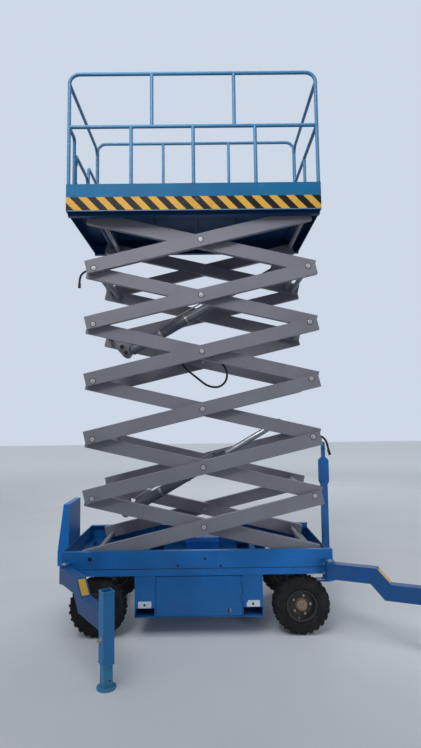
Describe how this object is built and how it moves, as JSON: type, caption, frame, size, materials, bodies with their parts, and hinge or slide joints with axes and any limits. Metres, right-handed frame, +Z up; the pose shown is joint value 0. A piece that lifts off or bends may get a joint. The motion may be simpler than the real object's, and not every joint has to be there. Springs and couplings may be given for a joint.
{
  "type": "scissor lift",
  "caption": "Mobile scissor lift: box chassis on wheels with drawbar, swing-out outriggers, stacked scissor arms with two lift cylinders and a railed work platform.",
  "frame": {"origin": "on the ground under the middle of the chassis", "axes": "+X along the machine towards the drawbar, +Y across to its left side, +Z up"},
  "size_m": [2.9956, 2.6404, 4.632],
  "materials": {
    "tyre": "matt, dusty black rubber",
    "rim_paint": "worn grey paint with rust",
    "rod_chrome": "polished",
    "roller_steel": "worn bare steel",
    "arm_paint": "satin light grey-blue paint, scuffed",
    "barrel_paint": "satin dark blue paint",
    "hazard_paint": "satin yellow and black stripes",
    "blue_paint": "satin blue paint, worn",
    "leg_steel": "worn grey paint",
    "outrigger_paint": "satin blue paint, worn",
    "box_paint": "satin blue paint",
    "cabinet_paint": "satin grey paint",
    "power_paint": "satin black paint",
    "axle_paint": "satin dark blue paint"
  },
  "bodies": {
    "base": {"base_frame": "blue_paint", "equipment_box": "box_paint", "power_unit": "power_paint", "oil_tank": "blue_paint", "control_cabinet": "cabinet_paint", "rear_axle": "axle_paint", "steering_axle": "axle_paint"},
    "outer_1": {"outer_arms_1": "arm_paint"},
    "inner_1": {"inner_arms_1": "arm_paint", "base_roller_left": "roller_steel", "base_roller_right": "roller_steel"},
    "outer_2": {"outer_arms_2": "arm_paint"},
    "inner_2": {"inner_arms_2": "arm_paint"},
    "outer_3": {"outer_arms_3": "arm_paint"},
    "inner_3": {"inner_arms_3": "arm_paint"},
    "outer_4": {"outer_arms_4": "arm_paint"},
    "inner_4": {"inner_arms_4": "arm_paint"},
    "outer_5": {"outer_arms_5": "arm_paint"},
    "inner_5": {"inner_arms_5": "arm_paint"},
    "outer_6": {"outer_arms_6": "arm_paint", "deck_roller_left": "roller_steel", "deck_roller_right": "roller_steel"},
    "inner_6": {"inner_arms_6": "arm_paint"},
    "platform": {"deck_frame": "hazard_paint", "toe_boards": "blue_paint", "railing_right": "blue_paint", "railing_left": "blue_paint", "railing_front": "blue_paint", "railing_rear": "blue_paint", "railing_entry": "blue_paint"},
    "barrel_lower": {"lift_barrel_lower": "barrel_paint"},
    "rod_lower": {"lift_rod_lower": "rod_chrome"},
    "barrel_upper": {"lift_barrel_upper": "barrel_paint"},
    "rod_upper": {"lift_rod_upper": "rod_chrome"},
    "gate": {"entry_gate": "blue_paint"},
    "door": {"box_door": "box_paint"},
    "yoke": {"drawbar_yoke": "axle_paint"},
    "tie_rod": {"tie_rod": "axle_paint"},
    "drawbar": {"drawbar": "axle_paint"},
    "knuckle_left": {"knuckle_left": "axle_paint"},
    "wheel_front_left": {"tyre_front_left": "tyre", "rim_front_left": "rim_paint"},
    "wheel_rear_left": {"tyre_rear_left": "tyre", "rim_rear_left": "rim_paint"},
    "knuckle_right": {"knuckle_right": "axle_paint"},
    "wheel_front_right": {"tyre_front_right": "tyre", "rim_front_right": "rim_paint"},
    "wheel_rear_right": {"tyre_rear_right": "tyre", "rim_rear_right": "rim_paint"},
    "outrigger_arm_rear_left": {"outrigger_arm_rear_left": "outrigger_paint"},
    "outrigger_leg_rear_left": {"outrigger_leg_rear_left": "leg_steel"},
    "outrigger_arm_rear_right": {"outrigger_arm_rear_right": "outrigger_paint"},
    "outrigger_leg_rear_right": {"outrigger_leg_rear_right": "leg_steel"},
    "outrigger_arm_front_left": {"outrigger_arm_front_left": "outrigger_paint"},
    "outrigger_leg_front_left": {"outrigger_leg_front_left": "leg_steel"},
    "outrigger_arm_front_right": {"outrigger_arm_front_right": "outrigger_paint"},
    "outrigger_leg_front_right": {"outrigger_leg_front_right": "leg_steel"}
  },
  "joints": [
    {"name": "lift", "type": "hinge", "parent": "base", "child": "outer_1", "pos_m": [-0.846, 0, 0.593], "axis": [0, -1, 0], "range_deg": [-11.18, 40.2]},
    {"name": "middle_pin_1", "type": "hinge", "parent": "outer_1", "child": "inner_1", "pos_m": [0.0533, 0, 0.83], "axis": [0, -1, 0], "range_deg": [-80.9, 22.86]},
    {"name": "left_pin_2", "type": "hinge", "parent": "inner_1", "child": "outer_2", "pos_m": [-0.846, 0, 1.067], "axis": [0, -1, 0], "range_deg": [-22.86, 80.9]},
    {"name": "middle_pin_2", "type": "hinge", "parent": "outer_2", "child": "inner_2", "pos_m": [0.0533, 0, 1.304], "axis": [0, -1, 0], "range_deg": [-80.9, 22.86]},
    {"name": "left_pin_3", "type": "hinge", "parent": "inner_2", "child": "outer_3", "pos_m": [-0.846, 0, 1.541], "axis": [0, -1, 0], "range_deg": [-22.86, 80.9]},
    {"name": "middle_pin_3", "type": "hinge", "parent": "outer_3", "child": "inner_3", "pos_m": [0.0533, 0, 1.778], "axis": [0, -1, 0], "range_deg": [-80.9, 22.86]},
    {"name": "left_pin_4", "type": "hinge", "parent": "inner_3", "child": "outer_4", "pos_m": [-0.846, 0, 2.015], "axis": [0, -1, 0], "range_deg": [-22.86, 80.9]},
    {"name": "middle_pin_4", "type": "hinge", "parent": "outer_4", "child": "inner_4", "pos_m": [0.0533, 0, 2.252], "axis": [0, -1, 0], "range_deg": [-80.9, 22.86]},
    {"name": "left_pin_5", "type": "hinge", "parent": "inner_4", "child": "outer_5", "pos_m": [-0.846, 0, 2.489], "axis": [0, -1, 0], "range_deg": [-22.86, 80.9]},
    {"name": "middle_pin_5", "type": "hinge", "parent": "outer_5", "child": "inner_5", "pos_m": [0.0533, 0, 2.726], "axis": [0, -1, 0], "range_deg": [-80.9, 22.86]},
    {"name": "left_pin_6", "type": "hinge", "parent": "inner_5", "child": "outer_6", "pos_m": [-0.846, 0, 2.963], "axis": [0, -1, 0], "range_deg": [-22.86, 80.9]},
    {"name": "middle_pin_6", "type": "hinge", "parent": "outer_6", "child": "inner_6", "pos_m": [0.0533, 0, 3.2], "axis": [0, -1, 0], "range_deg": [-80.9, 22.86]},
    {"name": "platform_pin", "type": "hinge", "parent": "inner_6", "child": "platform", "pos_m": [-0.846, 0, 3.437], "axis": [0, -1, 0], "range_deg": [-11.68, 40.7]},
    {"name": "barrel_pin_lower", "type": "hinge", "parent": "inner_1", "child": "barrel_lower", "pos_m": [-0.63884, 0, 0.87759], "axis": [0, -1, 0], "range_deg": [-23.2, 82.11]},
    {"name": "rod_lower", "type": "slide", "parent": "barrel_lower", "child": "rod_lower", "axis": [0.8698, 0, 0.4934], "range_m": [-0.18057, 0.64148]},
    {"name": "barrel_pin_upper", "type": "hinge", "parent": "inner_4", "child": "barrel_upper", "pos_m": [-0.63884, 0, 2.29959], "axis": [0, -1, 0], "range_deg": [-23.2, 82.11]},
    {"name": "rod_upper", "type": "slide", "parent": "barrel_upper", "child": "rod_upper", "axis": [0.8698, 0, 0.4934], "range_m": [-0.18057, 0.64148]},
    {"name": "gate_hinge", "type": "hinge", "parent": "platform", "child": "gate", "pos_m": [-1.04, -0.345, 3.9], "axis": [0, 0, -1], "range_deg": [0, 90]},
    {"name": "door_hinge", "type": "hinge", "parent": "base", "child": "door", "pos_m": [0.352, -0.537, 0.3], "axis": [0, 0, 1], "range_deg": [0, 95]},
    {"name": "steer", "type": "hinge", "parent": "base", "child": "yoke", "pos_m": [0.816, 0, 0.26], "axis": [0, 0, 1], "range_deg": [-20, 20]},
    {"name": "tie_rod_pin", "type": "hinge", "parent": "yoke", "child": "tie_rod", "pos_m": [0.926, 0, 0.171], "axis": [0, 0, 1], "range_deg": [-20.5, 20.5]},
    {"name": "drawbar_pin", "type": "hinge", "parent": "yoke", "child": "drawbar", "pos_m": [1.132, 0, 0.3], "axis": [0, -1, 0], "range_deg": [-92, 0]},
    {"name": "kingpin_left", "type": "hinge", "parent": "base", "child": "knuckle_left", "pos_m": [0.816, 0.335, 0.228], "axis": [0, 0, 1], "range_deg": [-20.5, 20.5]},
    {"name": "wheel_front_left", "type": "hinge", "parent": "knuckle_left", "child": "wheel_front_left", "pos_m": [0.816, 0.465, 0.228], "axis": [0, 1, 0], "continuous": true},
    {"name": "wheel_rear_left", "type": "hinge", "parent": "base", "child": "wheel_rear_left", "pos_m": [-0.79, 0.465, 0.228], "axis": [0, 1, 0], "continuous": true},
    {"name": "kingpin_right", "type": "hinge", "parent": "base", "child": "knuckle_right", "pos_m": [0.816, -0.335, 0.228], "axis": [0, 0, 1], "range_deg": [-20.5, 20.5]},
    {"name": "wheel_front_right", "type": "hinge", "parent": "knuckle_right", "child": "wheel_front_right", "pos_m": [0.816, -0.465, 0.228], "axis": [0, 1, 0], "continuous": true},
    {"name": "wheel_rear_right", "type": "hinge", "parent": "base", "child": "wheel_rear_right", "pos_m": [-0.79, -0.465, 0.228], "axis": [0, 1, 0], "continuous": true},
    {"name": "swing_rear_left", "type": "hinge", "parent": "base", "child": "outrigger_arm_rear_left", "pos_m": [-1.03, 0.585, 0.515], "axis": [0, 0, 1], "range_deg": [-40.7, 109.3]},
    {"name": "leg_rear_left", "type": "slide", "parent": "outrigger_arm_rear_left", "child": "outrigger_leg_rear_left", "axis": [0, 0, -1], "range_m": [-0.13, 0.1]},
    {"name": "swing_rear_right", "type": "hinge", "parent": "base", "child": "outrigger_arm_rear_right", "pos_m": [-1.03, -0.585, 0.515], "axis": [0, 0, -1], "range_deg": [-40.7, 109.3]},
    {"name": "leg_rear_right", "type": "slide", "parent": "outrigger_arm_rear_right", "child": "outrigger_leg_rear_right", "axis": [0, 0, -1], "range_m": [-0.13, 0.1]},
    {"name": "swing_front_left", "type": "hinge", "parent": "base", "child": "outrigger_arm_front_left", "pos_m": [1.03, 0.585, 0.515], "axis": [0, 0, -1], "range_deg": [-3, 147]},
    {"name": "leg_front_left", "type": "slide", "parent": "outrigger_arm_front_left", "child": "outrigger_leg_front_left", "axis": [0, 0, -1], "range_m": [-0.13, 0.1]},
    {"name": "swing_front_right", "type": "hinge", "parent": "base", "child": "outrigger_arm_front_right", "pos_m": [1.03, -0.585, 0.515], "axis": [0, 0, 1], "range_deg": [-140.5, 9.5]},
    {"name": "leg_front_right", "type": "slide", "parent": "outrigger_arm_front_right", "child": "outrigger_leg_front_right", "axis": [0, 0, -1], "range_m": [-0.13, 0.1]}
  ],
  "couplings": [
    {"joint": "middle_pin_1", "follows": "lift", "ratio": -2},
    {"joint": "left_pin_2", "follows": "lift", "ratio": 2},
    {"joint": "middle_pin_2", "follows": "lift", "ratio": -2},
    {"joint": "left_pin_3", "follows": "lift", "ratio": 2},
    {"joint": "middle_pin_3", "follows": "lift", "ratio": -2},
    {"joint": "left_pin_4", "follows": "lift", "ratio": 2},
    {"joint": "middle_pin_4", "follows": "lift", "ratio": -2},
    {"joint": "left_pin_5", "follows": "lift", "ratio": 2},
    {"joint": "middle_pin_5", "follows": "lift", "ratio": -2},
    {"joint": "left_pin_6", "follows": "lift", "ratio": 2},
    {"joint": "middle_pin_6", "follows": "lift", "ratio": -2},
    {"joint": "platform_pin", "follows": "lift", "ratio": 1},
    {"joint": "barrel_pin_lower", "follows": "lift", "ratio": 2.03},
    {"joint": "rod_lower", "follows": "lift", "m_per_rad": 0.91},
    {"joint": "barrel_pin_upper", "follows": "lift", "ratio": 2.03},
    {"joint": "rod_upper", "follows": "lift", "m_per_rad": 0.91},
    {"joint": "tie_rod_pin", "follows": "steer", "ratio": -1},
    {"joint": "kingpin_left", "follows": "steer", "ratio": 1},
    {"joint": "kingpin_right", "follows": "steer", "ratio": 1}
  ]
}
